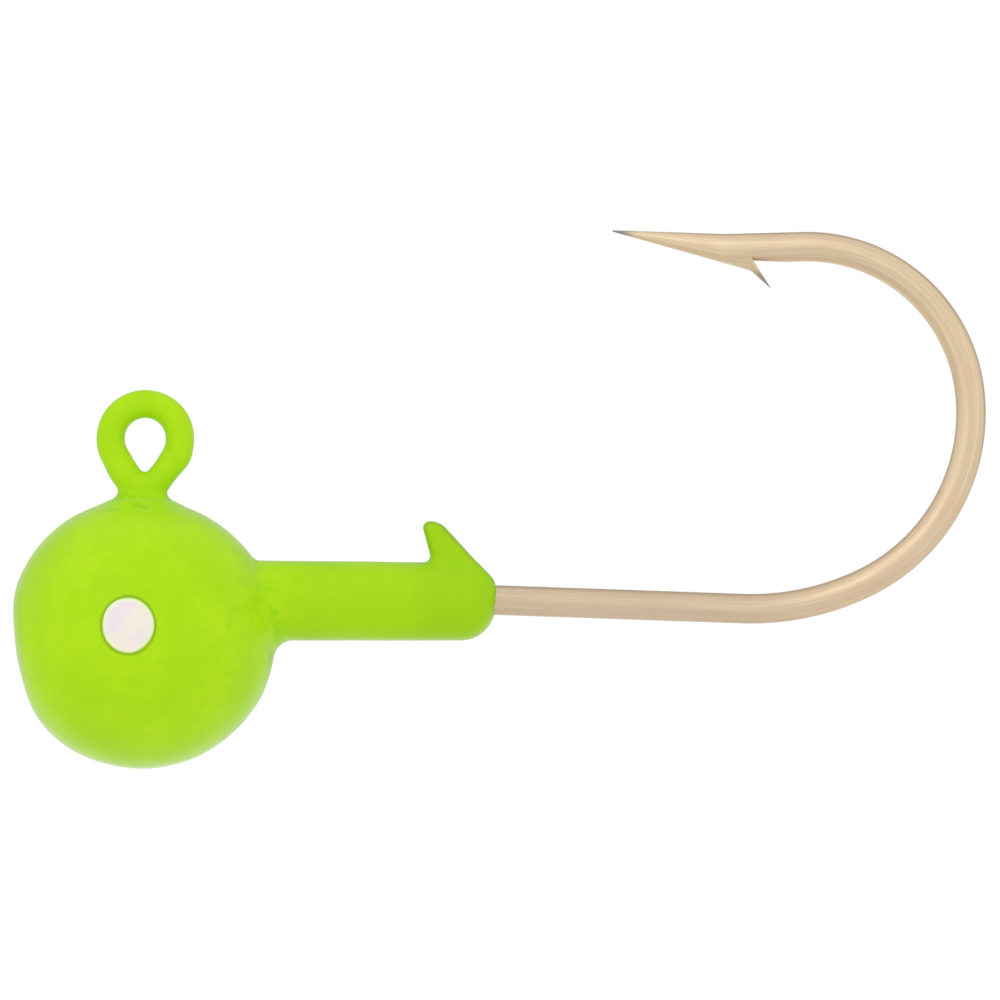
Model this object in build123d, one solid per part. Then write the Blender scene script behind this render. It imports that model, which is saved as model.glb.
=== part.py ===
"""Quarter-ounce round jig head: a lead ball and collar cast over a bent wire hook.

Millimetres. The origin is the centre of the line eye, +Z points up out of the head, +X runs
along the shank towards the bend, and the hook lies in the XZ plane. One STEP per sub-part.
"""

from build123d import *
from math import cos, radians, sin, tan
import os

# ---- driving dimensions: the hook wire ----
WIRE_D = 1.12               # wire gauge
EYE_WIRE_D = 0.97           # the eye and the stem below it are drawn a little thinner
EYE_R = 1.315               # centreline radius of the line eye
EYE_FLANK_REAR = 36.5       # degrees from vertical of the eye's rear flank
EYE_FLANK_NOSE = 30.0       # the same of its nose flank
STEM_X = 0.285              # upright stem that carries the eye down to the shank
TAIL_X = -0.50              # closing end of the eye, laid beside the stem
TAIL_DEPTH = 4.2            # how far below the eye's centre the closing end stops
NECK_BEND_R = 0.90          # bends where the flanks turn into the stem and the closing end
SHANK_BEND_R = 1.60         # the right-angle bend buried in the ball
SHANK_SLOPE = -1.99         # degrees the shank drops towards the bend
SHANK_PASSES = (13.42, -6.112)   # a point (X, Z) on the shank's centreline
SHANK_END_X = 22.59         # where the straight shank turns into the bend
BENDS = ((9.84, 27.95), (7.12, 71.83), (6.18, 83.70))    # (radius, degrees of turn)
POINT_STRAIGHT = 2.95       # straight wire between the bend and the point's taper

# ---- driving dimensions: point and barb ----
TIP = (17.68, 7.86)         # the tip (X, Z)
TIP_D = 0.05
BARB_CUT_START_X = 25.40    # the chisel cut behind the barb, from where it enters ...
BARB_ROOT = (22.99, 6.75)   # ... to its deepest point, which is the barb's root
BARB_TIP = (23.68, 5.68)
BARB_HALF_WIDTH = 0.37
BARB_TIP_HALF_WIDTH = 0.03

# ---- driving dimensions: the lead casting ----
BALL_R = 4.97
BALL_CENTRE = (-0.09, -7.37)     # (X, Z)
NOSE_FLAT_DEPTH = 0.27      # the clipped gate leaves a flat on the nose ...
NOSE_FLAT_TILT = 10.1       # ... that faces this many degrees below -X
NOSE_FLAT_ROUND = 3.0       # the filed edge of that flat
COLLAR_R = 1.395
COLLAR_Z = -6.14
COLLAR_END_X = 13.15
COLLAR_END_ROUND = 1.28     # nearly a dome
COLLAR_ROOT_FILLET = 0.45
KEEPER_HALF_WIDTH = 0.52
KEEPER_TIP = ((10.56, -3.22), (11.08, -3.22))    # the ends of its top edge (X, Z)
KEEPER_FRONT_FOOT_X = 11.31
KEEPER_BACK_FOOT = (13.10, -5.41)
KEEPER_EDGE_ROUND = 0.22
KEEPER_TIP_ROUND = 0.25

# ---- driving dimensions: paint ----
COAT = 0.10                 # coat on the lead
EYE_COAT = 0.05             # thinner on the wire of the eye
EYE_LAND = 0.02             # how deep the coat in the hole is dressed back to a round bore
DOT_R = 0.98
DOT_T = 0.05
DOT_AIM = (-0.45, 0.35)     # the dots' centres, (X, Z) from the ball's centre

WIRE_R = WIRE_D / 2
EYE_WIRE_R = EYE_WIRE_D / 2
EYE_BORE_R = EYE_R - EYE_WIRE_R - EYE_COAT + EYE_LAND


def at(x, z):
    """A point of the hook's plane."""
    return Vector(x, 0, z)


def beyond(point, heading, length):
    """The point at this distance along a heading, in degrees from +X towards +Z."""
    return point + at(cos(radians(heading)), sin(radians(heading))) * length


def bend(start, heading, radius, turn):
    """An arc that turns left from a heading. Gives the edge, its end and the new heading."""
    centre = beyond(start, heading + 90, radius)
    middle = beyond(centre, heading + turn / 2 - 90, radius)
    end = beyond(centre, heading + turn - 90, radius)
    return ThreePointArc(start, middle, end), end, heading + turn


def tube(edges, radius):
    """A round wire along joined edges, starting square to the first one."""
    path = Wire(edges)
    return sweep(Plane(origin=path @ 0, z_dir=path % 0) * Circle(radius), path=path)


def shank_z(x):
    return SHANK_PASSES[1] + (x - SHANK_PASSES[0]) * tan(radians(SHANK_SLOPE))


def eye_edges():
    """The eye's edges: shank and its buried bend, stem and rear flank, ring, closing end."""
    rear, nose = radians(EYE_FLANK_REAR), radians(EYE_FLANK_NOSE)
    rear_touch = at(EYE_R * cos(rear), -EYE_R * sin(rear))
    nose_touch = at(-EYE_R * cos(nose), -EYE_R * sin(nose))
    rear_corner = rear_touch - at(sin(rear), cos(rear)) * ((rear_touch.X - STEM_X) / sin(rear))
    nose_corner = nose_touch + at(sin(nose), -cos(nose)) * ((TAIL_X - nose_touch.X) / sin(nose))
    stem_foot = at(STEM_X, shank_z(STEM_X))
    shank_end = at(SHANK_END_X, shank_z(SHANK_END_X))
    stem = FilletPolyline(
        shank_end, stem_foot, rear_corner, rear_touch, radius=[SHANK_BEND_R, NECK_BEND_R]
    )
    ring = ThreePointArc(rear_touch, at(0, EYE_R), nose_touch)
    tail = FilletPolyline(nose_touch, nose_corner, at(TAIL_X, -TAIL_DEPTH), radius=NECK_BEND_R)
    shank, neck = stem.edges()[:2], stem.edges()[2:]
    return shank, neck, ring, tail.edges()


def bend_edges():
    """The hook's bend and the straight wire up to the taper, with the taper's start and heading."""
    edges, joint, heading = [], at(SHANK_END_X, shank_z(SHANK_END_X)), SHANK_SLOPE
    for radius, turn in BENDS:
        edge, joint, heading = bend(joint, heading, radius, turn)
        edges.append(edge)
    end = beyond(joint, heading, POINT_STRAIGHT)
    return [*edges, Line(joint, end)], end, heading


def make_point(start, heading):
    """The tapered point, an oblique cone whose back runs straight on from the wire's back."""
    section = Plane(origin=start, z_dir=beyond(at(0, 0), heading, 1))
    tip = Plane(origin=at(*TIP), z_dir=beyond(at(0, 0), heading, 1))
    return loft([section * Circle(WIRE_R), tip * Circle(TIP_D / 2)], ruled=True)


def make_barb(taper_start):
    """The sliver raised from the wire's underside, a keel that narrows to the barb's tip."""
    wire_underside = taper_start.Z - WIRE_R
    profile = Polyline(
        at(taper_start.X - 0.9, wire_underside + 0.35),
        at(taper_start.X - 0.1, wire_underside + 0.02),
        at(BARB_ROOT[0] - 0.12, BARB_ROOT[1] - 0.47),
        at(BARB_ROOT[0] + 0.33, BARB_ROOT[1] - 0.79),
        at(*BARB_TIP),
        at(BARB_ROOT[0] + 0.30, BARB_ROOT[1] - 0.52),
        at(*BARB_ROOT),
        at(BARB_ROOT[0], BARB_ROOT[1] + 0.35),
        close=True,
    )
    side = extrude(make_face(profile), amount=BARB_HALF_WIDTH, both=True, dir=(0, 1, 0))
    top = BARB_ROOT[1] + 0.4
    keel = Polyline(
        (-BARB_HALF_WIDTH, top),
        (BARB_HALF_WIDTH, top),
        (BARB_HALF_WIDTH, BARB_ROOT[1]),
        (BARB_TIP_HALF_WIDTH, BARB_TIP[1]),
        (-BARB_TIP_HALF_WIDTH, BARB_TIP[1]),
        (-BARB_HALF_WIDTH, BARB_ROOT[1]),
        close=True,
    )
    along_x = Plane(origin=(TIP[0], 0, 0), x_dir=(0, 1, 0), z_dir=(1, 0, 0))
    return side & extrude(along_x * make_face(keel), amount=BARB_TIP[0] - TIP[0] + 1)


def barb_cut():
    """The shallow wedge that the chisel takes out of the wire's underside behind the barb."""
    foot = BARB_TIP[1]
    enter = at(BARB_CUT_START_X, BARB_ROOT[1] - 0.13)
    profile = Polyline(
        at(*BARB_ROOT), enter, at(BARB_CUT_START_X, foot), at(BARB_ROOT[0], foot), close=True
    )
    return extrude(make_face(profile), amount=WIRE_D, both=True, dir=(0, 1, 0))


def make_hook():
    shank, neck, ring, tail = eye_edges()
    bend_part, taper_start, heading = bend_edges()
    wire = tube([*bend_part[::-1], *shank], WIRE_R)
    hook = (wire - barb_cut()) + tube([*neck, ring], EYE_WIRE_R)
    hook += tube(tail, EYE_WIRE_R)
    return (hook + make_point(taper_start, heading)) + make_barb(taper_start)


def keeper_outline(grow):
    """The bait keeper seen from the side: a fin raked towards the ball, grown by the coat."""
    outline = Polyline(
        at(KEEPER_FRONT_FOOT_X, COLLAR_Z + 0.2),
        at(*KEEPER_TIP[0]),
        at(*KEEPER_TIP[1]),
        at(*KEEPER_BACK_FOOT),
        at(KEEPER_BACK_FOOT[0], COLLAR_Z + 0.2),
        close=True,
    )
    face = make_face(outline)
    face = fillet(face.vertices().sort_by(Axis.Z)[-2:], KEEPER_TIP_ROUND)
    return offset(face, amount=grow, kind=Kind.INTERSECTION) if grow else face


def above_keeper_back(grow):
    """What the keeper's straight back cuts from the collar's end: a block lying on the back."""
    top, foot = at(*KEEPER_TIP[1]), at(*KEEPER_BACK_FOOT)
    along = (foot - top).normalized()
    out = Vector(-along.Z, 0, along.X)
    corner = top + out * grow
    end = foot + out * grow + along * COLLAR_R
    block = Polyline(corner, end, end + out * BALL_R, corner + out * BALL_R, close=True)
    return extrude(make_face(block), amount=COLLAR_R * 2, both=True, dir=(0, 1, 0))


def make_ball(grow):
    """The ball with the flat that the clipped gate leaves on its nose."""
    ball = Rotation(0, 0, 180) * Sphere(BALL_R + grow)
    tilt = radians(NOSE_FLAT_TILT)
    nose = Vector(-cos(tilt), 0, -sin(tilt))
    flat = Plane(origin=nose * (BALL_R + grow - NOSE_FLAT_DEPTH), z_dir=nose)
    ball -= flat * extrude(Circle(BALL_R), amount=BALL_R)
    ball = fillet(ball.edges().filter_by(GeomType.CIRCLE).sort_by(Axis.X)[0], NOSE_FLAT_ROUND)
    return Pos(BALL_CENTRE[0], 0, BALL_CENTRE[1]) * ball


def head_body(grow):
    """The head's outer form: ball, collar and keeper, all grown outwards by a coat."""
    length = COLLAR_END_X + grow - BALL_CENTRE[0]
    start = Plane(origin=(BALL_CENTRE[0], 0, COLLAR_Z), z_dir=(1, 0, 0))
    collar = start * extrude(Circle(COLLAR_R + grow), amount=length)
    end_edge = collar.edges().filter_by(GeomType.CIRCLE).sort_by(Axis.X)[-1]
    collar = fillet(end_edge, COLLAR_END_ROUND + grow)
    body = make_ball(grow) + collar
    body = fillet(body.edges().filter_by(GeomType.BSPLINE), COLLAR_ROOT_FILLET - grow)
    body -= above_keeper_back(grow)
    half = KEEPER_HALF_WIDTH + grow
    keeper = extrude(keeper_outline(grow), amount=half, both=True, dir=(0, 1, 0))
    rims = keeper.edges().filter_by(lambda e: abs(abs(e.center().Y) - half) < 1e-6)
    keeper = fillet(rims, KEEPER_EDGE_ROUND + grow)
    return body + keeper


def make_eye_coat(hook, painted_head):
    """Paint on the eye and its neck, down to the head's own coat, open at the line hole."""
    shank, neck, ring, tail = eye_edges()
    coated_r = EYE_WIRE_R + EYE_COAT
    coat = (tube(neck, coated_r) + tube([ring], coated_r)) + tube(tail, coated_r)
    bore = Plane.XZ * extrude(Circle(EYE_BORE_R), amount=WIRE_D * 2, both=True)
    return ((coat - bore) - hook) - painted_head


def make_dot(side):
    """A round dab of paint on one cheek of the ball; side is -1 or 1 along Y."""
    centre = Vector(BALL_CENTRE[0], 0, BALL_CENTRE[1])
    outer = BALL_R + COAT
    depth = (outer**2 - DOT_AIM[0] ** 2 - DOT_AIM[1] ** 2) ** 0.5
    aim = Vector(DOT_AIM[0], side * depth, DOT_AIM[1])
    core = Plane(origin=centre, z_dir=aim) * extrude(Circle(DOT_R), amount=outer * 2)
    ball = Pos(*centre) * Sphere(outer)
    return (Pos(*centre) * Sphere(outer + DOT_T) & core) - ball


def build():
    hook = make_hook()
    casting = head_body(0)
    painted = head_body(COAT)
    return {
        "hook": hook,
        "lead_head": casting - hook,
        "head_paint": (painted - casting) - hook,
        "eye_paint": make_eye_coat(hook, painted),
        "left_eye_dot": make_dot(-1),
        "right_eye_dot": make_dot(1),
    }


os.makedirs("parts", exist_ok=True)
for name, shape in build().items():
    export_step(shape, f"parts/{name}.step")
    print(name, round(shape.volume, 4), "solids", len(shape.solids()))
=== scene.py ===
import math

import bmesh
import bpy
import numpy as np
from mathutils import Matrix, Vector


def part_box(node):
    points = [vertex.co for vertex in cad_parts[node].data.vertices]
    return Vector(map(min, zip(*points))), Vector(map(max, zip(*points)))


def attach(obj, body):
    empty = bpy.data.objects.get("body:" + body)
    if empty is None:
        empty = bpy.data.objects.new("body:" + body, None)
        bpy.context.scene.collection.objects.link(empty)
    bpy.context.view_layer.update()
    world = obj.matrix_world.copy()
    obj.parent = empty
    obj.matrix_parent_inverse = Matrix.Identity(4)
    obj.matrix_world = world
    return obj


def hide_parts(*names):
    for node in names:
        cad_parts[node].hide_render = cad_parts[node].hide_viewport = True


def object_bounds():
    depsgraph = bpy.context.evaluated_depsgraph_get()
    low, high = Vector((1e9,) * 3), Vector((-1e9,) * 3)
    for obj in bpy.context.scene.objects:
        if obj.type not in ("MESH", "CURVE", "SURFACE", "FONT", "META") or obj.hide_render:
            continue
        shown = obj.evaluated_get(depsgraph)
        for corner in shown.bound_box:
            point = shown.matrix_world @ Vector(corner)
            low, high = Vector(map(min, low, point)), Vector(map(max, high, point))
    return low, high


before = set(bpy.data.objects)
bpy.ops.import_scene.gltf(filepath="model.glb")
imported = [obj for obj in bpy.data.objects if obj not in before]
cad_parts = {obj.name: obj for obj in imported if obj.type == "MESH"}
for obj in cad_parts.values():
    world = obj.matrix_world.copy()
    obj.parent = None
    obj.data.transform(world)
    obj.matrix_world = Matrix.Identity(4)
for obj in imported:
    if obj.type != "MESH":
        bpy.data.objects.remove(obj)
CAD_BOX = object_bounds()

MM = 0.001

# ---- sizes in millimetres, in the row frame: the line eye's centre is the origin ----
WIRE_R = 0.56
EYE_WIRE_R = 0.485
EYE_R = 1.315
EYE_FLANK_REAR = 36.5
EYE_FLANK_NOSE = 30.0
STEM_X = 0.285
TAIL_X = -0.50
TAIL_DEPTH = 4.2
NECK_BEND_R = 0.90
SHANK_BEND_R = 1.60
SHANK_SLOPE = -1.99
SHANK_PASSES = (13.42, -6.112)
SHANK_END_X = 22.59
BENDS = ((9.84, 27.95), (7.12, 71.83), (6.18, 83.70))
POINT_STRAIGHT = 2.95
TIP = (17.68, 7.86)
TIP_R = 0.025
BARB_ROOT = (22.99, 6.75)
BARB_TIP = (23.68, 5.68)
BARB_HEEL = ((23.09, 6.205), (23.35, 5.965))
BARB_LEAD_IN = 0.35
BARB_CUT_START = (25.40, 6.62)

COLLAR_R = 1.475
COLLAR_Z = -6.14
COLLAR_ROUND = 1.33
COLLAR_END = 13.25
FIN_FRONT_FOOT = (11.31, -5.94)
FIN_FRONT_TIP = (10.56, -3.22)
FIN_BACK_TIP = (11.08, -3.22)
FIN_BACK_FOOT = (13.10, -5.41)
COAT = 0.10
FIN_HALF = 0.62
FIN_EDGE = 0.32
FIN_TIP = 0.33
FIN_TOP = 0.24
EYE_COAT_R = 0.535
NOSE_TILT = 10.1
NOSE_DIP = 0.227
MOUND = 0.13
MOUND_R = 1.42
REAR_BOW = 0.058
NECK_WEB = 0.46
FIN_FILLET = 0.34
EYE_FILLET = 0.25

# how the ball is out of round in the mould's plane: height, place and spread in degrees
SWELLS = ((0.030, 125, 28), (0.055, 236, 26), (-0.066, 56, 32), (-0.035, 315, 20), (-0.062, 350, 14))
DOT_AIM = (-0.45, 0.35)


def mm_box(node):
    lo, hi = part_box(node)
    return np.array(lo) / MM, np.array(hi) / MM


HEAD_LO, HEAD_HI = mm_box("head_paint")
BALL_R = float(HEAD_HI[1])
BALL = np.array([-0.09, 0.0, float(HEAD_LO[2]) + BALL_R])


# ---------------------------------------------------------------- paths in the hook's plane


def unit(v):
    return v / np.linalg.norm(v)


def left_of(v):
    return np.array([-v[1], v[0]])


def ease(t):
    """A smooth step for t from 0 to 1."""
    return t * t * (3 - 2 * t)


def rounded(corners, radii):
    """Runs and tangent arcs through (x, z) corners, as ("line", a, b) and ("arc", centre, r, from, turn)."""
    corners = [np.array(c, float) for c in corners]
    pieces, start = [], corners[0]
    for before, corner, after, r in zip(corners, corners[1:], corners[2:], radii):
        u, v = unit(corner - before), unit(after - corner)
        turn = math.atan2(u[0] * v[1] - u[1] * v[0], float(u @ v))
        trim = r * math.tan(abs(turn) / 2)
        side = left_of(u) * math.copysign(1, turn)
        centre = corner - u * trim + side * r
        enter = corner - u * trim
        pieces.append(("line", start, enter))
        first = math.atan2(*(enter - centre)[::-1])
        pieces.append(("arc", centre, r, first, turn))
        start = corner + v * trim
    pieces.append(("line", start, corners[-1]))
    return pieces


def turned(start, heading, r, degrees):
    """A left-turning arc: its piece, its end and the new heading, in degrees."""
    h = math.radians(heading)
    centre = start + r * np.array([-math.sin(h), math.cos(h)])
    turn = math.radians(degrees)
    last = h - math.pi / 2 + turn
    end = centre + r * np.array([math.cos(last), math.sin(last)])
    return ("arc", centre, r, h - math.pi / 2, turn), end, heading + degrees


def shank_z(x):
    return SHANK_PASSES[1] + (x - SHANK_PASSES[0]) * math.tan(math.radians(SHANK_SLOPE))


def eye_path():
    """The closing end with the nose half of the eye, then the rear half, the stem and the shank."""
    rear, nose = math.radians(EYE_FLANK_REAR), math.radians(EYE_FLANK_NOSE)
    rear_touch = np.array([EYE_R * math.cos(rear), -EYE_R * math.sin(rear)])
    nose_touch = np.array([-EYE_R * math.cos(nose), -EYE_R * math.sin(nose)])
    rear_way = np.array([math.sin(rear), math.cos(rear)])
    nose_way = np.array([math.sin(nose), -math.cos(nose)])
    rear_corner = rear_touch - rear_way * ((rear_touch[0] - STEM_X) / math.sin(rear))
    nose_corner = nose_touch + nose_way * ((TAIL_X - nose_touch[0]) / math.sin(nose))
    tail = rounded([(TAIL_X, -TAIL_DEPTH), nose_corner, nose_touch], [NECK_BEND_R])
    nose_half = ("arc", np.zeros(2), EYE_R, math.pi + nose, -(math.pi / 2 + nose))
    rear_half = ("arc", np.zeros(2), EYE_R, math.pi / 2, -(math.pi / 2 + rear))
    foot = (STEM_X, shank_z(STEM_X))
    end = (SHANK_END_X, shank_z(SHANK_END_X))
    stem = rounded([rear_touch, rear_corner, foot, end], [NECK_BEND_R, SHANK_BEND_R])
    return [*tail, nose_half], [rear_half, *stem]


def hook_path():
    nose_side, rear_side = eye_path()
    at = np.array([SHANK_END_X, shank_z(SHANK_END_X)])
    heading, arcs = SHANK_SLOPE, []
    for r, degrees in BENDS:
        arc, at, heading = turned(at, heading, r, degrees)
        arcs.append(arc)
    way = np.array([math.cos(math.radians(heading)), math.sin(math.radians(heading))])
    taper = at + way * POINT_STRAIGHT
    pieces = [*nose_side, *rear_side, *arcs, ("line", at, taper)]
    return pieces, taper, way


def sampled(pieces, line_step, arc_step):
    """Points and unit headings along a path."""
    points, ways = [], []
    for piece in pieces:
        if piece[0] == "line":
            _, a, b = piece
            n = max(1, math.ceil(np.linalg.norm(b - a) / line_step))
            for t in np.linspace(0, 1, n, endpoint=False):
                points.append(a + (b - a) * t)
                ways.append(unit(b - a))
        else:
            _, c, r, first, turn = piece
            n = max(2, math.ceil(abs(turn) * r / arc_step))
            for t in np.linspace(0, 1, n, endpoint=False):
                q = first + turn * t
                radial = np.array([math.cos(q), math.sin(q)])
                points.append(c + r * radial)
                ways.append(left_of(radial) * math.copysign(1, turn))
    return np.array(points), np.array(ways)


def path_distance(pieces, q):
    """Distance in the plane from each row of q to the nearest of the pieces."""
    best = np.full(len(q), 1e9)
    for piece in pieces:
        if piece[0] == "line":
            _, a, b = piece
            along = np.clip((q - a) @ (b - a) / ((b - a) @ (b - a)), 0, 1)
            d = np.linalg.norm(q - a - along[:, None] * (b - a), axis=1)
        else:
            _, c, r, first, turn = piece
            v = q - c
            swept = (np.arctan2(v[:, 1], v[:, 0]) - first) * math.copysign(1, turn)
            on_arc = np.mod(swept, 2 * math.pi) <= abs(turn)
            d = np.abs(np.linalg.norm(v, axis=1) - r)
            ends = [c + r * np.array([math.cos(e), math.sin(e)]) for e in (first, first + turn)]
            off = np.minimum(*(np.linalg.norm(q - e, axis=1) for e in ends))
            d = np.where(on_arc, d, off)
        best = np.minimum(best, d)
    return best


# ---------------------------------------------------------------- the coat as a distance field


def join_round(a, b, r):
    """Union of two distances with a circular fillet."""
    u = np.maximum(r - a, 0)
    v = np.maximum(r - b, 0)
    return np.maximum(r, np.minimum(a, b)) - np.hypot(u, v)


def meet_round(a, b, r):
    """Intersection of two distances with a rounded edge."""
    u = np.maximum(r + a, 0)
    v = np.maximum(r + b, 0)
    return np.minimum(-r, np.maximum(a, b)) + np.hypot(u, v)


def half_plane(p, a, b, grow):
    """Distance past the line from a to b in the XZ plane, positive on its left."""
    a, b = np.array(a), np.array(b)
    return (p[:, [0, 2]] - a) @ left_of(unit(b - a)) - grow


def bump(angle, centre, width):
    away = np.mod(angle - math.radians(centre) + math.pi, 2 * math.pi) - math.pi
    return np.exp(-((away / math.radians(width)) ** 2))


def ripple(p):
    """A slow unevenness of the sprayed coat, about a hundredth of a millimetre."""
    waves = (
        ((1.9, 0.7, -1.1), 0.3, 0.0035),
        ((-0.8, 2.3, 1.4), 1.7, 0.0030),
        ((3.1, -1.9, 2.2), 4.1, 0.0020),
        ((-2.4, 3.4, -3.0), 2.6, 0.0016),
        ((4.9, 2.1, 4.4), 5.2, 0.0010),
    )
    total = np.zeros(len(p))
    for k, phase, size in waves:
        total += size * np.sin(p @ np.array(k) + phase)
    return total


def ball_field(p):
    """The painted ball: swells, the mould's parting line, the clipped nose and a mound under the eye."""
    v = p - BALL
    reach = np.linalg.norm(v, axis=1)
    around = np.arctan2(v[:, 2], v[:, 0])
    in_plane = np.hypot(v[:, 0], v[:, 2]) / np.maximum(reach, 1e-6)
    swell = sum(height * bump(around, at, spread) for height, at, spread in SWELLS)
    parting = np.exp(-((v[:, 1] / 0.20) ** 2)) * (0.030 + 0.030 * bump(around, 135, 35))
    tilt = math.radians(NOSE_TILT)
    ahead = -(v[:, 0] * math.cos(tilt) + v[:, 2] * math.sin(tilt)) / np.maximum(reach, 1e-6)
    off_nose = np.degrees(np.arccos(np.clip(ahead, -1, 1)))
    dip = NOSE_DIP * np.exp(-((off_nose / 21.0) ** 3))
    flat = 1 - np.exp(-((off_nose / 26.0) ** 4))
    stem_gap = np.hypot(p[:, 0] + 0.11, p[:, 1]) / MOUND_R
    mound = MOUND * np.exp(-(stem_gap**6)) * (v[:, 2] > 0)
    return reach - BALL_R - swell * in_plane**2 - parting * flat + dip - mound


def collar_field(p):
    """The painted collar, a little drafted, with its parting line and the keeper's slope cut across it."""
    sag = 0.0045 * (p[:, 0] - 7.0)
    radial = np.hypot(p[:, 1], p[:, 2] - COLLAR_Z + sag)
    start, end = BALL[0], COLLAR_END
    middle, half = (start + end) / 2, (end - start) / 2
    draft = 0.016 - 0.0055 * (p[:, 0] - 5.0)
    parting = 0.022 * np.exp(-((p[:, 1] / 0.14) ** 2))
    across = radial - COLLAR_R - draft - parting
    along = np.abs(p[:, 0] - middle) - half
    collar = meet_round(across, along, COLLAR_ROUND)
    return meet_round(collar, half_plane(p, FIN_BACK_TIP, FIN_BACK_FOOT, COAT), 0.30)


def fin_field(p):
    """The painted bait keeper, a raked fin."""
    front = half_plane(p, FIN_FRONT_FOOT, FIN_FRONT_TIP, COAT)
    top = half_plane(p, FIN_FRONT_TIP, FIN_BACK_TIP, COAT)
    back = half_plane(p, FIN_BACK_TIP, FIN_BACK_FOOT, COAT)
    side = meet_round(meet_round(front, top, FIN_TIP), back, FIN_TOP)
    side = meet_round(side, p[:, 0] - FIN_BACK_FOOT[0] - COAT, 0.10)
    side = np.maximum(side, COLLAR_Z - p[:, 2])
    lean = 0.05 * np.clip((p[:, 2] + 4.6) / 1.4, 0, 1)
    return meet_round(side, np.abs(p[:, 1]) - FIN_HALF + lean, FIN_EDGE)


EYE_PATHS = eye_path()


def rear_bow(z):
    """How far the eye's rear side bulges back, below its middle."""
    return REAR_BOW * np.exp(-(((z + 0.95) / 0.42) ** 2))


def eye_field(p):
    """The painted line eye: both sides of the wire, with paint webbed between them at the neck."""
    near = (p[:, 2] > -5.2) & (np.abs(p[:, 0]) < 3.6)
    field = np.full(len(p), 4.0)
    q = p[near][:, [0, 2]]
    nose_side, rear_side = EYE_PATHS
    y, z = p[near][:, 1], p[near][:, 2]
    unbowed = np.stack([q[:, 0] - rear_bow(z), z], 1)
    rear = path_distance(rear_side[:4], unbowed)
    nose = path_distance(nose_side, q)
    a = np.hypot(rear, y) - EYE_COAT_R
    b = np.hypot(nose, y) - EYE_COAT_R - 0.050 * np.exp(-(((z + 1.45) / 0.36) ** 2))
    web = NECK_WEB * ease(np.clip((-0.70 - z) / 0.9, 0, 1))
    field[near] = join_round(a, b, web)
    return field


def wire_gap(p):
    """Distance from the surface of the straight shank."""
    slope = math.radians(SHANK_SLOPE)
    z = p[:, 2] - SHANK_PASSES[1] - (p[:, 0] - SHANK_PASSES[0]) * math.tan(slope)
    return np.hypot(p[:, 1], z * math.cos(slope)) - WIRE_R


def coat_parts(p):
    return ball_field(p), collar_field(p), fin_field(p), eye_field(p)


def coat_field(p):
    """Distance from the coat's outer surface; the collar's fillet is wider underneath."""
    ball, collar, fin, eye = coat_parts(p)
    root = 0.37 - 0.16 * np.clip(p[:, 2] - COLLAR_Z, -1.4, 1.4)
    body = join_round(ball, collar, root)
    body = join_round(body, fin, FIN_FILLET)
    body = join_round(body, eye, EYE_FILLET)
    return body - ripple(p)


# ---------------------------------------------------------------- meshes from a field

CORNERS = np.array([(i, j, k) for i in (0, 1) for j in (0, 1) for k in (0, 1)])
EDGES = [(a, b) for a in range(8) for b in range(a + 1, 8) if np.abs(CORNERS[a] - CORNERS[b]).sum() == 1]


def net(field, lo, hi, h):
    """A closed quad mesh on the field's zero: one vertex in each cell that the surface crosses."""
    size = np.ceil((hi - lo) / h).astype(int) + 1
    xs, ys, zs = (lo[i] + h * np.arange(size[i]) for i in range(3))
    grid = np.empty(size)
    yy, zz = (a.ravel() for a in np.meshgrid(ys, zs, indexing="ij"))
    for i, x in enumerate(xs):
        grid[i] = field(np.stack([np.full(yy.size, x), yy, zz], 1)).reshape(size[1:])
    inside = grid < 0
    count = sum(
        inside[i : size[0] - 1 + i, j : size[1] - 1 + j, k : size[2] - 1 + k].astype(int)
        for i, j, k in CORNERS
    )
    cells = np.argwhere((count > 0) & (count < 8))
    values = np.stack([grid[tuple((cells + c).T)] for c in CORNERS], 1)
    total, crossed = np.zeros((len(cells), 3)), np.zeros(len(cells))
    for a, b in EDGES:
        va, vb = values[:, a], values[:, b]
        cut = (va < 0) != (vb < 0)
        t = np.where(cut, va / np.where(cut, va - vb, 1), 0)
        spot = CORNERS[a] + t[:, None] * (CORNERS[b] - CORNERS[a])
        total += np.where(cut[:, None], spot, 0)
        crossed += cut
    verts = lo + h * (cells + total / crossed[:, None])
    number = np.full(size - 1, -1)
    number[tuple(cells.T)] = np.arange(len(cells))
    faces = []
    for axis in range(3):
        u, v = [a for a in range(3) if a != axis]
        step = np.eye(3, dtype=int)
        low = [slice(0, s) for s in size]
        low[axis] = slice(0, size[axis] - 1)
        high = list(low)
        high[axis] = slice(1, size[axis])
        change = inside[tuple(low)] != inside[tuple(high)]
        spots = np.argwhere(change)
        spots = spots[(spots[:, u] > 0) & (spots[:, v] > 0)]
        ring = [number[tuple((spots - d).T)] for d in (step[u] + step[v], step[v], 0 * step[u], step[u])]
        quad = np.stack(ring, 1)
        flip = inside[tuple(spots.T)] == (axis == 1)
        quad[flip] = quad[flip][:, ::-1]
        faces.append(quad)
    return verts, np.concatenate(faces)


def settle(field, verts, passes):
    """Moves vertices along the field's slope onto its zero."""
    eps = 0.004
    for _ in range(passes):
        here = field(verts)
        slope = np.stack(
            [(field(verts + eps * e) - field(verts - eps * e)) / (2 * eps) for e in np.eye(3)], 1
        )
        size = np.maximum((slope**2).sum(1), 0.25)
        verts = verts - slope * np.clip(here / size, -0.08, 0.08)[:, None]
    return verts


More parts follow.
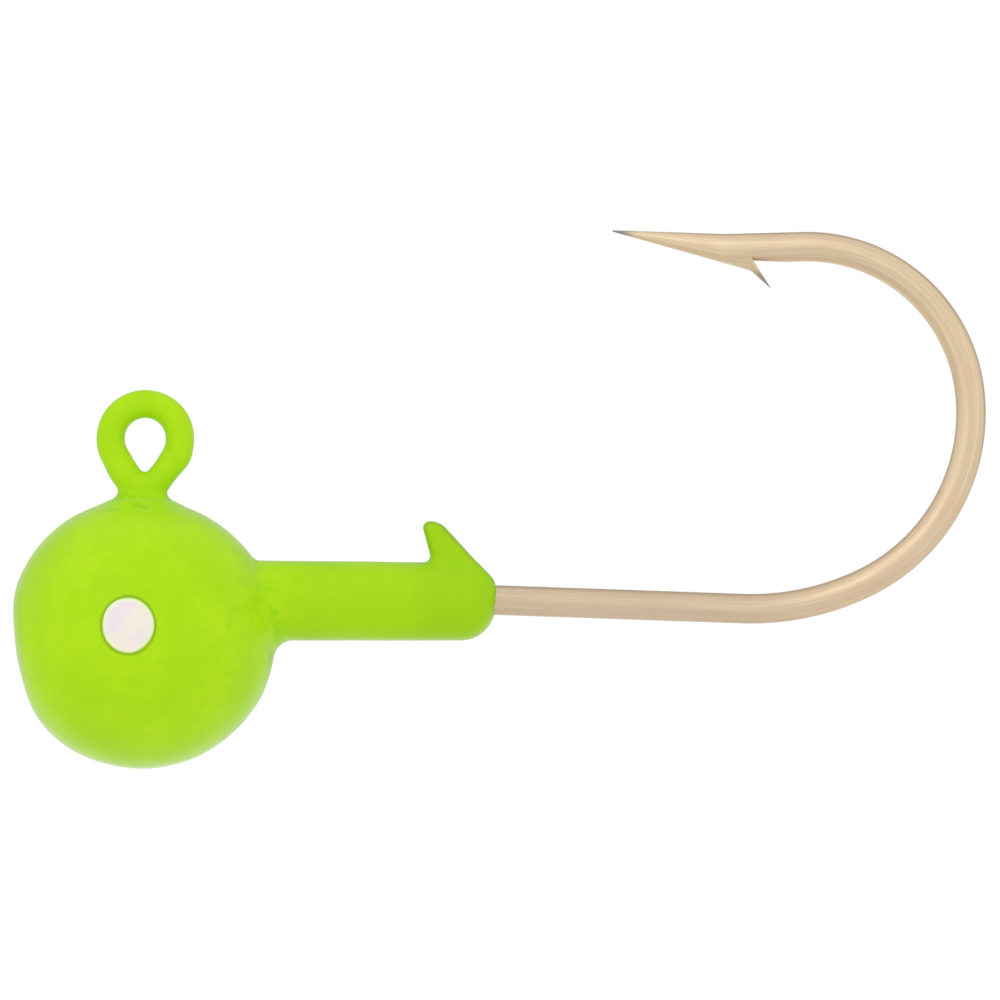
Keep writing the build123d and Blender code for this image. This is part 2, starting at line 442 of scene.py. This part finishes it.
def relax(verts, faces, share):
    """Moves each vertex towards the mean of its neighbours."""
    pairs = np.concatenate([faces[:, [i, (i + 1) % 4]] for i in range(4)])
    total, count = np.zeros_like(verts), np.zeros(len(verts))
    for a, b in ((0, 1), (1, 0)):
        np.add.at(total, pairs[:, a], verts[pairs[:, b]])
        np.add.at(count, pairs[:, a], 1)
    return verts + share * (total / count[:, None] - verts)


def new_object(name, verts, faces, attributes=()):
    """A smooth-shaded object from vertices in millimetres."""
    mesh = bpy.data.meshes.new(name)
    mesh.from_pydata((np.asarray(verts) * MM).tolist(), [], [list(map(int, f)) for f in faces])
    mesh.validate()
    mesh.shade_smooth()
    for key, values in dict(attributes).items():
        mesh.attributes.new(key, "FLOAT", "POINT").data.foreach_set("value", np.asarray(values, np.float32))
    mesh.update()
    obj = bpy.data.objects.new(name, mesh)
    bpy.context.scene.collection.objects.link(obj)
    return obj


# ---------------------------------------------------------------- materials


class Nodes:
    """Short calls for building one node material."""

    def __init__(self, name):
        self.material = bpy.data.materials.new(name)
        self.material.use_nodes = True
        self.tree = self.material.node_tree
        self.shader = self.tree.nodes["Principled BSDF"]

    def put(self, node, key, value):
        socket = node.inputs[key]
        if isinstance(value, bpy.types.NodeSocket):
            self.tree.links.new(value, socket)
        else:
            socket.default_value = value

    def math(self, operation, a, b=0.0, clamp=False):
        node = self.tree.nodes.new("ShaderNodeMath")
        node.operation, node.use_clamp = operation, clamp
        self.put(node, 0, a)
        self.put(node, 1, b)
        return node.outputs[0]

    def mapped(self, value, a, b, c=0.0, d=1.0):
        node = self.tree.nodes.new("ShaderNodeMapRange")
        node.interpolation_type = "SMOOTHSTEP"
        for key, v in zip(("Value", "From Min", "From Max", "To Min", "To Max"), (value, a, b, c, d)):
            self.put(node, key, v)
        return node.outputs["Result"]

    def mix(self, factor, a, b):
        node = self.tree.nodes.new("ShaderNodeMix")
        node.data_type = "RGBA"
        self.put(node, "Factor", factor)
        self.put(node, 6, a)
        self.put(node, 7, b)
        return node.outputs[2]

    def noise(self, vector, scale, detail=3.0, rough=0.55):
        node = self.tree.nodes.new("ShaderNodeTexNoise")
        for key, v in (("Vector", vector), ("Scale", scale), ("Detail", detail), ("Roughness", rough)):
            self.put(node, key, v)
        return node.outputs["Fac"]

    def attribute(self, name):
        node = self.tree.nodes.new("ShaderNodeAttribute")
        node.attribute_name = name
        return node.outputs["Fac"]

    def place(self):
        return self.tree.nodes.new("ShaderNodeTexCoord").outputs["Object"]

    def split(self, vector):
        node = self.tree.nodes.new("ShaderNodeSeparateXYZ")
        self.put(node, 0, vector)
        return node.outputs

    def joined(self, x, y, z):
        node = self.tree.nodes.new("ShaderNodeCombineXYZ")
        for i, v in enumerate((x, y, z)):
            self.put(node, i, v)
        return node.outputs[0]

    def bump(self, height, distance, strength=1.0):
        node = self.tree.nodes.new("ShaderNodeBump")
        for key, v in (("Height", height), ("Distance", distance), ("Strength", strength)):
            self.put(node, key, v)
        self.put(self.shader, "Normal", node.outputs[0])

    def set(self, **values):
        for key, value in values.items():
            self.put(self.shader, key.replace("_", " "), value)


def rgb(r, g, b):
    """A linear colour from 8-bit sRGB values."""
    return (*(((c / 255 + 0.055) / 1.055) ** 2.4 if c > 10 else c / 255 / 12.92 for c in (r, g, b)), 1)


DOT_X = BALL[0] + DOT_AIM[0]
DOT_Z = BALL[2] + DOT_AIM[1]
DOT_WIDE = 0.985
DOT_TALL = 1.045


def dot_distance(n, place):
    """How far a point is from the eye dot's centre, 1 at the dot's edge."""
    x, _, z = n.split(place)
    u = n.math("MULTIPLY", n.math("SUBTRACT", x, DOT_X * MM), 1 / (DOT_WIDE * MM))
    v = n.math("MULTIPLY", n.math("SUBTRACT", z, DOT_Z * MM), 1 / (DOT_TALL * MM))
    square = n.math("ADD", n.math("MULTIPLY", u, u), n.math("MULTIPLY", v, v))
    return n.math("SQRT", square)


def paint_material():
    n = Nodes("chartreuse_paint")
    place = n.place()
    x, y, z = n.split(place)
    cloud = n.noise(place, 420, 3, 0.5)
    grain = n.noise(place, 2600, 2, 0.5)
    fine = n.noise(place, 9000, 2, 0.5)
    lime = n.mix(n.mapped(cloud, 0.36, 0.64), rgb(167, 219, 10), rgb(176, 224, 15))
    lime = n.mix(n.mapped(grain, 0.30, 0.75, 0, 0.30), lime, rgb(156, 214, 6))
    on_collar = n.mapped(x, 4.6 * MM, 6.5 * MM, 0, 0.50)
    lime = n.mix(on_collar, lime, rgb(157, 206, 12))
    on_keeper = n.mapped(x, 9.6 * MM, 11.2 * MM, 0, 0.45)
    lime = n.mix(on_keeper, lime, rgb(150, 198, 14))
    # darker in the creases between the parts: pooled paint and painted shade
    pooled_and_shaded = n.math("MULTIPLY", n.attribute("pool_and_crease_shade"), n.mapped(grain, 0.25, 0.7, 0.30, 0.75))
    lime = n.mix(pooled_and_shaded, lime, rgb(138, 206, 2))
    specks = n.mapped(n.noise(place, 1500, 1, 0.4), 0.60, 0.72, 0, 0.55)
    lime = n.mix(n.math("MULTIPLY", specks, n.attribute("speck")), lime, rgb(128, 200, 3))
    # olive on the keeper's edges and back half and round the wire at the collar's end: painted shade
    lime = n.mix(n.math("MULTIPLY", n.attribute("thin_streaks_and_edge_shade"), 0.62), lime, rgb(112, 150, 22))
    # a dark olive ring just outside each eye dot: painted shadow at the dot's edge
    around = dot_distance(n, place)
    side = n.math("GREATER_THAN", n.math("ABSOLUTE", y), 3 * MM)
    line = n.math("MULTIPLY", n.mapped(around, 0.98, 1.03), n.mapped(around, 1.04, 1.14, 1, 0))
    lime = n.mix(n.math("MULTIPLY", n.math("MULTIPLY", line, side), 0.55), lime, rgb(104, 136, 40))
    n.set(Base_Color=lime, Roughness=n.mapped(fine, 0.2, 0.8, 0.28, 0.38))
    n.put(n.shader, "IOR", 1.5)
    n.put(n.shader, "Specular IOR Level", 0.12)
    n.put(n.shader, "Sheen Weight", 0.45)
    n.put(n.shader, "Sheen Roughness", 0.25)
    height = n.math("ADD", n.math("MULTIPLY", grain, 0.8), n.math("MULTIPLY", fine, 0.2))
    n.bump(height, 0.010 * MM, 0.4)
    return n.material


def dot_material():
    n = Nodes("eye_dot_paint")
    place = n.place()
    around = dot_distance(n, place)
    cloud = n.noise(place, 1300, 2, 0.5)
    body = n.mix(n.mapped(cloud, 0.35, 0.65), rgb(234, 224, 228), rgb(240, 230, 216))
    rim = n.mapped(around, 0.80, 0.93)
    body = n.mix(n.math("MULTIPLY", rim, 0.85), body, rgb(234, 240, 204))
    n.set(Base_Color=body, Roughness=0.42)
    n.put(n.shader, "Specular IOR Level", 0.25)
    n.bump(n.noise(place, 4200, 2), 0.010 * MM, 0.5)
    return n.material


def streaks(n):
    """Draw lines: noise stretched along the wire and wrapped round it, broad and thin."""
    along, turn = n.attribute("along"), n.attribute("turn")
    c, s = n.math("COSINE", turn), n.math("SINE", turn)

    def band(stretch, wrap, scale, detail):
        vector = n.joined(*(n.math("MULTIPLY", v, k) for v, k in ((along, stretch), (c, wrap), (s, wrap))))
        return n.noise(vector, scale, detail, 0.6)

    return band(0.05, 1.3, 2.0, 2), band(0.16, 5.0, 2.2, 4)


def wire_material():
    n = Nodes("plated_wire")
    wide, thin_streaks_and_edge_shade = streaks(n)
    place = n.place()
    x, _, z = n.split(place)
    spots = n.noise(place, 900, 3, 0.6)
    gold = n.mix(n.mapped(wide, 0.34, 0.66), rgb(219, 196, 164), rgb(229, 208, 176))
    gold = n.mix(n.mapped(thin_streaks_and_edge_shade, 0.42, 0.75, 0, 0.55), gold, rgb(198, 174, 144))
    gold = n.mix(n.mapped(spots, 0.50, 0.75, 0, 0.35), gold, rgb(220, 184, 158))
    shank = n.math("MULTIPLY", n.mapped(x, 21 * MM, 27 * MM, 1, 0), n.mapped(z, -5 * MM, -4 * MM, 1, 0))
    gold = n.mix(n.math("MULTIPLY", shank, 0.40), gold, rgb(192, 172, 152))
    worn = n.mapped(n.attribute("from_tip"), 0.30, 1.0, 1, 0)
    gold = n.mix(worn, gold, rgb(142, 142, 139))
    sliver = n.attribute("sliver")
    gold = n.mix(n.math("MULTIPLY", sliver, 0.85), gold, rgb(152, 142, 132))
    n.set(Base_Color=gold, Metallic=1.0, Roughness=n.mapped(thin_streaks_and_edge_shade, 0.3, 0.7, 0.40, 0.52))
    n.bump(n.math("ADD", n.math("MULTIPLY", thin_streaks_and_edge_shade, 0.7), n.math("MULTIPLY", spots, 0.3)), 0.008 * MM, 0.45)
    return n.material


def cut_material():
    """Bare metal where the chisel raised the barb."""
    n = Nodes("barb_cut")
    place = n.place()
    marks = n.noise(place, 5200, 3, 0.6)
    tone = n.mix(n.mapped(marks, 0.35, 0.65), rgb(204, 160, 136), rgb(222, 186, 162))
    n.set(Base_Color=tone, Metallic=1.0, Roughness=n.mapped(marks, 0.3, 0.7, 0.40, 0.55))
    n.bump(marks, 0.012 * MM, 0.6)
    return n.material


def lead_material():
    n = Nodes("cast_lead")
    place = n.place()
    tarnish = n.noise(place, 700, 4, 0.6)
    tone = n.mix(n.mapped(tarnish, 0.35, 0.65), rgb(96, 98, 102), rgb(134, 136, 140))
    n.set(Base_Color=tone, Metallic=0.9, Roughness=n.mapped(tarnish, 0.3, 0.7, 0.5, 0.7))
    n.bump(n.noise(place, 3000, 3), 0.02 * MM, 0.5)
    return n.material


# ---------------------------------------------------------------- the pieces


def finish_piece(obj, slot, *nodes):
    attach(obj, "root")
    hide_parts(*nodes)


def coat_tones(verts, faces):
    """Darker where the coat meets in the hollows between its parts, partly pooled paint and partly painted
    shade; flecked at the joins; painted shade on the keeper's edges and back half and round the wire at the
    collar's end.
    """
    nearest = np.minimum.reduce(coat_parts(verts))
    # the creases between ball, collar, keeper and eye: pooled paint and painted shade there
    pool_and_crease_shade = np.clip((nearest - 0.015) / 0.16, 0, 1)
    junction = np.exp(-(((verts[:, 0] - 4.3) / 1.0) ** 2)) * (np.abs(verts[:, 2] + 6.6) < 2.4)
    neck = np.exp(-(((verts[:, 2] + 2.5) / 0.7) ** 2)) * (np.abs(verts[:, 0]) < 1.9)
    # painted shade on the keeper's rounded edges, from the surface's bend, and on its back half
    step = 0.06
    bent = sum(coat_field(verts + step * e) + coat_field(verts - step * e) for e in np.eye(3))
    on_keeper = (fin_field(verts) < 0.03) * np.clip((0.56 - np.abs(verts[:, 1])) / 0.18, 0, 1)
    curved = 0.8 * np.clip((bent / step**2 - 1.2) / 1.2, 0, 1)
    thin_streaks_and_edge_shade = on_keeper * np.maximum(curved, verts[:, 0] > 11.1)
    # painted shadow round the wire where it leaves the collar's end
    rim = np.exp(-((wire_gap(verts) / 0.09) ** 2)) * (verts[:, 0] > 12.0)
    thin_streaks_and_edge_shade = np.maximum(thin_streaks_and_edge_shade, 0.8 * rim)
    for _ in range(3):
        thin_streaks_and_edge_shade = relax(thin_streaks_and_edge_shade[:, None], faces, 0.6)[:, 0]
    return {"pool_and_crease_shade": pool_and_crease_shade, "speck": np.clip(junction + neck, 0, 1), "thin_streaks_and_edge_shade": thin_streaks_and_edge_shade}


def make_coat():
    lo = HEAD_LO - 0.4
    hi = np.array([HEAD_HI[0] + 0.6, HEAD_HI[1] + 0.4, EYE_R + EYE_COAT_R + 0.3])
    verts, faces = net(coat_field, lo, hi, 0.095)
    for _ in range(3):
        verts = settle(coat_field, relax(verts, faces, 0.5), 1)
    verts = settle(coat_field, verts, 2)
    coat = new_object("chartreuse_coat", verts, faces, coat_tones(verts, faces))
    coat.data.materials.append(paint_material())
    finish_piece(coat, "chartreuse_paint", "head_paint", "eye_paint")
    return coat


def make_dot(name, node, side, material):
    """A dab of thick paint on the cheek, with a raised rim and a slightly uneven edge."""
    rings, around = 22, 96
    turn = np.linspace(0, 2 * math.pi, around, endpoint=False)
    edge = 1 + 0.010 * np.sin(3 * turn + 0.8) + 0.006 * np.sin(5 * turn + 2.0)
    spots, heights = [(0.0, 0.0)], [0.040]
    for i in range(1, rings + 1):
        t = i / rings
        lift = 0.040 + 0.016 * math.exp(-(((t - 0.86) / 0.08) ** 2))
        lift *= math.sqrt(max(0.0, 1 - max(0.0, (t - 0.88) / 0.12) ** 2))
        for q, e in zip(turn, edge):
            reach = t**0.9 * e
            spots.append((reach * DOT_WIDE * math.cos(q), reach * DOT_TALL * math.sin(q)))
            heights.append(lift - (0.05 if i == rings else 0.0))
    spots, heights = np.array(spots), np.array(heights)
    aim = np.array([DOT_AIM[0], 0, DOT_AIM[1]])
    start = BALL + aim + np.stack([spots[:, 0], 0 * heights, spots[:, 1]], 1)
    flat = start - BALL
    flat[:, 1] = side * np.sqrt(np.maximum(BALL_R**2 - flat[:, 0] ** 2 - flat[:, 2] ** 2, 0))
    surface = BALL + flat
    way = flat / np.linalg.norm(flat, axis=1)[:, None]
    for _ in range(4):
        surface = surface - way * coat_field(surface)[:, None]
    verts = surface + way * heights[:, None]
    faces = []
    for j in range(around):
        k = (j + 1) % around
        faces.append((0, 1 + j, 1 + k))
        for i in range(rings - 1):
            a, b = 1 + i * around, 1 + (i + 1) * around
            faces.append((a + j, b + j, b + k, a + k))
    inner = len(verts)
    verts = np.vstack([verts, surface[0] - way[0] * 0.03])
    last = 1 + (rings - 1) * around
    faces += [(inner, last + (j + 1) % around, last + j) for j in range(around)]
    if side > 0:
        faces = [f[::-1] for f in faces]
    dot = new_object(name, verts, faces)
    dot.data.materials.append(material)
    finish_piece(dot, "eye_paint_white", node)
    return dot


def tube_mesh(points, ways, radii_flat, radii_side, offsets, sides):
    """A closed tube: rings square to the path, as (vertices, faces)."""
    turn = np.linspace(0, 2 * math.pi, sides, endpoint=False)
    verts = []
    for p, w, rf, rs, o in zip(points, ways, radii_flat, radii_side, offsets):
        out = left_of(w)
        c = p + out * o
        for q in turn:
            s = out * rf * math.cos(q)
            verts.append((c[0] + s[0], rs * math.sin(q), c[1] + s[1]))
    faces = []
    for i in range(len(points) - 1):
        for j in range(sides):
            k = (j + 1) % sides
            a, b = i * sides, (i + 1) * sides
            faces.append((a + j, a + k, b + k, b + j))
    last = (len(points) - 1) * sides
    faces.append(tuple(range(sides))[::-1])
    faces.append(tuple(last + j for j in range(sides)))
    return np.array(verts), faces


def raw_object(name, verts, faces):
    """A scratch object in millimetres, for a boolean."""
    mesh = bpy.data.meshes.new(name)
    mesh.from_pydata(np.asarray(verts).tolist(), [], [list(map(int, f)) for f in faces])
    made = bmesh.new()
    made.from_mesh(mesh)
    bmesh.ops.recalc_face_normals(made, faces=made.faces)
    made.to_mesh(mesh)
    made.free()
    obj = bpy.data.objects.new(name, mesh)
    bpy.context.scene.collection.objects.link(obj)
    return obj


def combine(base, other, operation):
    """Applies an exact boolean to base and removes the other object."""
    modifier = base.modifiers.new("cut", "BOOLEAN")
    modifier.object, modifier.operation, modifier.solver = other, operation, "EXACT"
    graph = bpy.context.evaluated_depsgraph_get()
    mesh = bpy.data.meshes.new_from_object(base.evaluated_get(graph))
    base.modifiers.clear()
    base.data = mesh
    bpy.data.objects.remove(other)


def barb_mesh(taper):
    """The raised sliver: upright slices with a round outer side and a flat inner one."""
    slope = (taper[1] - WIRE_R - TIP[1] + TIP_R) / (taper[0] - TIP[0])
    start, root, end = taper[0] - BARB_LEAD_IN, BARB_ROOT[0], BARB_TIP[0]
    stations = np.concatenate([np.linspace(start, root, 14), np.linspace(root, end - 0.005, 22)[1:]])
    keel = taper[1] - WIRE_R + 0.006
    heel_x, heel_z = zip(*BARB_HEEL)
    outer_x = [start, taper[0], root - 0.10, *heel_x, end]
    outer_z = [keel - BARB_LEAD_IN * slope + 0.014, keel, keel + slope * (root - 0.10 - taper[0])]
    outer_z += [*heel_z, BARB_TIP[1] - 0.012]
    slices, rim = [], 20
    for x in stations:
        outer = np.interp(x, outer_x, outer_z)
        past = max(0.0, (x - root) / (end - root))
        inner = BARB_ROOT[1] + (BARB_TIP[1] - BARB_ROOT[1]) * past if past else BARB_ROOT[1] + 0.30
        if past == 0 and x > root - 0.02:
            inner = BARB_ROOT[1]
        half = np.interp(x, [start, root], [0.40, 0.44]) * (1 - past) ** 0.75 + 0.02 * min(1, 9 * past)
        ring = []
        for q in np.linspace(0, math.pi, rim):
            ring.append((x, half * math.cos(q), inner + (outer - inner) * math.sin(q)))
        slices.append(ring)
    verts = np.array(slices).reshape(-1, 3)
    faces = []
    for i in range(len(stations) - 1):
        a, b = i * rim, (i + 1) * rim
        for j in range(rim):
            k = (j + 1) % rim
            faces.append((a + j, a + k, b + k, b + j))
    last = (len(stations) - 1) * rim
    faces.append(tuple(range(rim))[::-1])
    faces.append(tuple(last + j for j in range(rim)))
    return verts, faces


def cutter_mesh():
    """The block that the chisel takes away under the point, back from the barb's root."""
    low, wide = BARB_TIP[1] - 0.3, 1.0
    outline = [BARB_ROOT, BARB_CUT_START, (BARB_CUT_START[0], low), (BARB_ROOT[0], low)]
    verts = [(x, y, z) for y in (-wide, wide) for x, z in outline]
    faces = [(0, 1, 2, 3), (7, 6, 5, 4)] + [(i, 4 + i, 4 + (i + 1) % 4, (i + 1) % 4) for i in range(4)]
    return np.array(verts), faces


def point_rings(taper, way):
    """The ground point: ring centres, half-widths in and across the plane, and shifts off the straight."""
    span = float((np.array(TIP) - taper) @ way)
    rise = float((np.array(TIP) - taper) @ left_of(way))
    steps = np.linspace(0, 1, 40)
    radius = TIP_R + (WIRE_R - TIP_R) * (1 - steps)
    side = radius * (1 - 0.06 * np.sin(math.pi * steps))
    return taper + way * (steps * span)[:, None], radius, side, rise * steps


def wire_tube(pieces, taper, way):
    """The wire from the eye to the point, thinner in the eye and its stem."""
    points, ways = sampled(pieces, 0.2, 0.16)
    on_rear = (points[:, 0] > 0) & (points[:, 0] < 2)
    points[:, 0] += rear_bow(points[:, 1]) * on_rear
    swell = np.clip((-3.6 - points[:, 1]) / 0.8, 0, 1) * (points[:, 0] > 0.1)
    swell = np.where(points[:, 0] > 1.8, 1, swell)
    wire = EYE_WIRE_R + (WIRE_R - EYE_WIRE_R) * ease(swell)
    tip_points, tip_flat, tip_side, tip_shift = point_rings(taper, way)
    centres = np.vstack([points, tip_points])
    headings = np.vstack([ways, np.repeat(way[None], len(tip_points), 0)])
    flat = np.concatenate([wire, tip_flat])
    side = np.concatenate([wire, tip_side])
    shift = np.concatenate([np.zeros(len(points)), tip_shift])
    return tube_mesh(centres, headings, flat, side, shift, 48)


def wrap_wire(mesh, pieces, taper, way):
    """Stores where each vertex lies along and around the wire, on the sliver, and from the tip."""
    verts = np.empty(len(mesh.vertices) * 3)
    mesh.vertices.foreach_get("co", verts)
    verts = verts.reshape(-1, 3)
    flat = verts[:, [0, 2]]
    tip = np.array(TIP)
    line, heading = sampled(pieces, 0.25, 0.12)
    point = taper + (tip - taper) * np.linspace(0, 1, 24)[:, None]
    line = np.vstack([line, point])
    heading = np.vstack([heading, np.repeat(way[None], len(point), 0)])
    length = np.concatenate([[0], np.cumsum(np.linalg.norm(np.diff(line, axis=0), axis=1))])
    nearest = np.array([np.argmin(((line - v) ** 2).sum(1)) for v in flat])
    away, ahead = flat - line[nearest], heading[nearest]
    across = away[:, 1] * ahead[:, 0] - away[:, 0] * ahead[:, 1]
    depth = np.clip((BARB_ROOT[1] - 0.28 - flat[:, 1]) / 0.35, 0, 1)
    near_barb = np.clip((flat[:, 0] - BARB_ROOT[0] + 0.25) / 0.25, 0, 1)
    near_barb *= (flat[:, 0] < BARB_TIP[0] + 0.05) & (flat[:, 1] > BARB_TIP[1] - 0.1)
    wrapped = {
        "along": length[nearest] + (away * ahead).sum(1),
        "turn": np.arctan2(verts[:, 1], across),
        "sliver": depth * near_barb,
        "from_tip": np.linalg.norm(flat - tip, axis=1),
    }
    for key, values in wrapped.items():
        mesh.attributes.new(key, "FLOAT", "POINT").data.foreach_set("value", values.astype(np.float32))


def mark_cut_faces(mesh):
    """Gives the chisel's flat and the barb's inner face the second material."""
    root = np.array(BARB_ROOT)
    ahead = unit(np.array(BARB_CUT_START) - root)
    blade = unit(np.array(BARB_TIP) - root)
    for face in mesh.polygons:
        c = np.array([face.center[0], face.center[2]]) - root
        facing = np.array([face.normal[0], face.normal[2]])
        on_flat = abs(c @ left_of(ahead)) < 0.004 and 0 < c @ ahead < 2.45 and facing[1] < -0.9
        on_barb = abs(c @ left_of(blade)) < 0.012 and 0 < c @ blade < 1.3
        on_barb = on_barb and facing @ left_of(blade) > 0.9
        face.material_index = 1 if on_flat or on_barb else 0


def make_hook():
    pieces, taper, way = hook_path()
    hook = raw_object("hook_wire", *wire_tube(pieces, taper, way))
    combine(hook, raw_object("cutter", *cutter_mesh()), "DIFFERENCE")
    combine(hook, raw_object("barb", *barb_mesh(taper)), "UNION")
    mesh = hook.data
    mesh.name = "hook_wire"
    wrap_wire(mesh, pieces, taper, way)
    mesh.materials.clear()
    mesh.materials.append(wire_material())
    mesh.materials.append(cut_material())
    mark_cut_faces(mesh)
    mesh.transform(((MM, 0, 0, 0), (0, MM, 0, 0), (0, 0, MM, 0), (0, 0, 0, 1)))
    mesh.shade_smooth()
    mesh.set_sharp_from_angle(angle=math.radians(38))
    mesh.update()
    finish_piece(hook, "hook_wire", "hook")
    return hook


make_coat()
dots = dot_material()
make_dot("left_eye_dab", "left_eye_dot", -1, dots)
make_dot("right_eye_dab", "right_eye_dot", 1, dots)
make_hook()
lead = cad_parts["lead_head"]
lead.data.materials.clear()
lead.data.materials.append(lead_material())


# ---------------------------------------------------------------- stage, light and camera


def make_floor():
    """A pale floor well under the hanging head, fading out at its edge."""
    drop, radius = (CAD_BOX[0][2] - 0.030), 0.45
    mesh = bpy.data.meshes.new("floor")
    turn = np.linspace(0, 2 * math.pi, 96, endpoint=False)
    verts = [(0.013 + radius * math.cos(q), radius * math.sin(q), drop) for q in turn]
    mesh.from_pydata(verts, [], [tuple(range(96))])
    floor = bpy.data.objects.new("floor", mesh)
    bpy.context.scene.collection.objects.link(floor)
    n = Nodes("pale_floor")
    x, y, _ = n.split(n.place())
    x = n.math("SUBTRACT", x, 0.013)
    reach = n.math("SQRT", n.math("ADD", n.math("MULTIPLY", x, x), n.math("MULTIPLY", y, y)))
    n.set(Base_Color=rgb(236, 236, 236), Roughness=0.9)
    n.put(n.shader, "Emission Color", (1, 1, 1, 1))
    n.put(n.shader, "Emission Strength", 0.14)
    n.put(n.shader, "Alpha", n.mapped(reach, radius * 0.35, radius * 0.95, 1, 0))
    floor.data.materials.append(n.material)


def make_world():
    """A white tent: bright on the camera's side, greyer behind, and plain white as the backdrop."""
    world = bpy.data.worlds.new("studio")
    bpy.context.scene.world = world
    world.use_nodes = True
    tree = world.node_tree
    tree.nodes.clear()
    place = tree.nodes.new("ShaderNodeTexCoord")
    split = tree.nodes.new("ShaderNodeSeparateXYZ")
    tree.links.new(place.outputs["Generated"], split.inputs[0])
    ramp = tree.nodes.new("ShaderNodeMapRange")
    ramp.interpolation_type = "SMOOTHSTEP"
    tree.links.new(split.outputs["Y"], ramp.inputs["Value"])
    for key, value in (("From Min", 0.05), ("From Max", 0.85), ("To Min", 1.02), ("To Max", 0.46)):
        ramp.inputs[key].default_value = value
    tent = tree.nodes.new("ShaderNodeBackground")
    tent.inputs["Color"].default_value = (1, 1, 1, 1)
    tree.links.new(ramp.outputs["Result"], tent.inputs["Strength"])
    plain = tree.nodes.new("ShaderNodeBackground")
    plain.inputs["Color"].default_value = (1, 1, 1, 1)
    plain.inputs["Strength"].default_value = 1.0
    path = tree.nodes.new("ShaderNodeLightPath")
    pick = tree.nodes.new("ShaderNodeMixShader")
    tree.links.new(path.outputs["Is Camera Ray"], pick.inputs["Fac"])
    tree.links.new(tent.outputs[0], pick.inputs[1])
    tree.links.new(plain.outputs[0], pick.inputs[2])
    out = tree.nodes.new("ShaderNodeOutputWorld")
    tree.links.new(pick.outputs[0], out.inputs[0])


def soft_light(name, place, target, size, watts):
    light = bpy.data.lights.new(name, "AREA")
    light.shape, light.size, light.energy = "DISK", size, watts
    lamp = bpy.data.objects.new(name, light)
    lamp.location = place
    lamp.rotation_mode = "QUATERNION"
    lamp.rotation_quaternion = (Vector(target) - Vector(place)).to_track_quat("-Z", "Y")
    bpy.context.scene.collection.objects.link(lamp)


VIEW_CENTRE = (13.42 * MM, -2.32 * MM)
VIEW_WIDTH = 37.84 * MM
LENS, SENSOR = 600.0, 36.0


def make_camera():
    data = bpy.data.cameras.new("camera")
    data.lens, data.sensor_width = LENS, SENSOR
    data.clip_start, data.clip_end = 0.01, 10.0
    camera = bpy.data.objects.new("camera", data)
    camera.location = (VIEW_CENTRE[0], -LENS / SENSOR * VIEW_WIDTH, VIEW_CENTRE[1])
    camera.rotation_euler = (math.pi / 2, 0, 0)
    bpy.context.scene.collection.objects.link(camera)
    bpy.context.scene.camera = camera


make_floor()
make_world()
soft_light("key", (-0.25, -0.45, 0.40), (0.013, 0, 0), 0.5, 0.34)
soft_light("fill", (0.40, -0.35, -0.05), (0.013, 0, 0), 0.4, 0.10)
make_camera()
bpy.context.scene.view_settings.view_transform = "Standard"
bpy.context.scene.view_settings.look = "None"
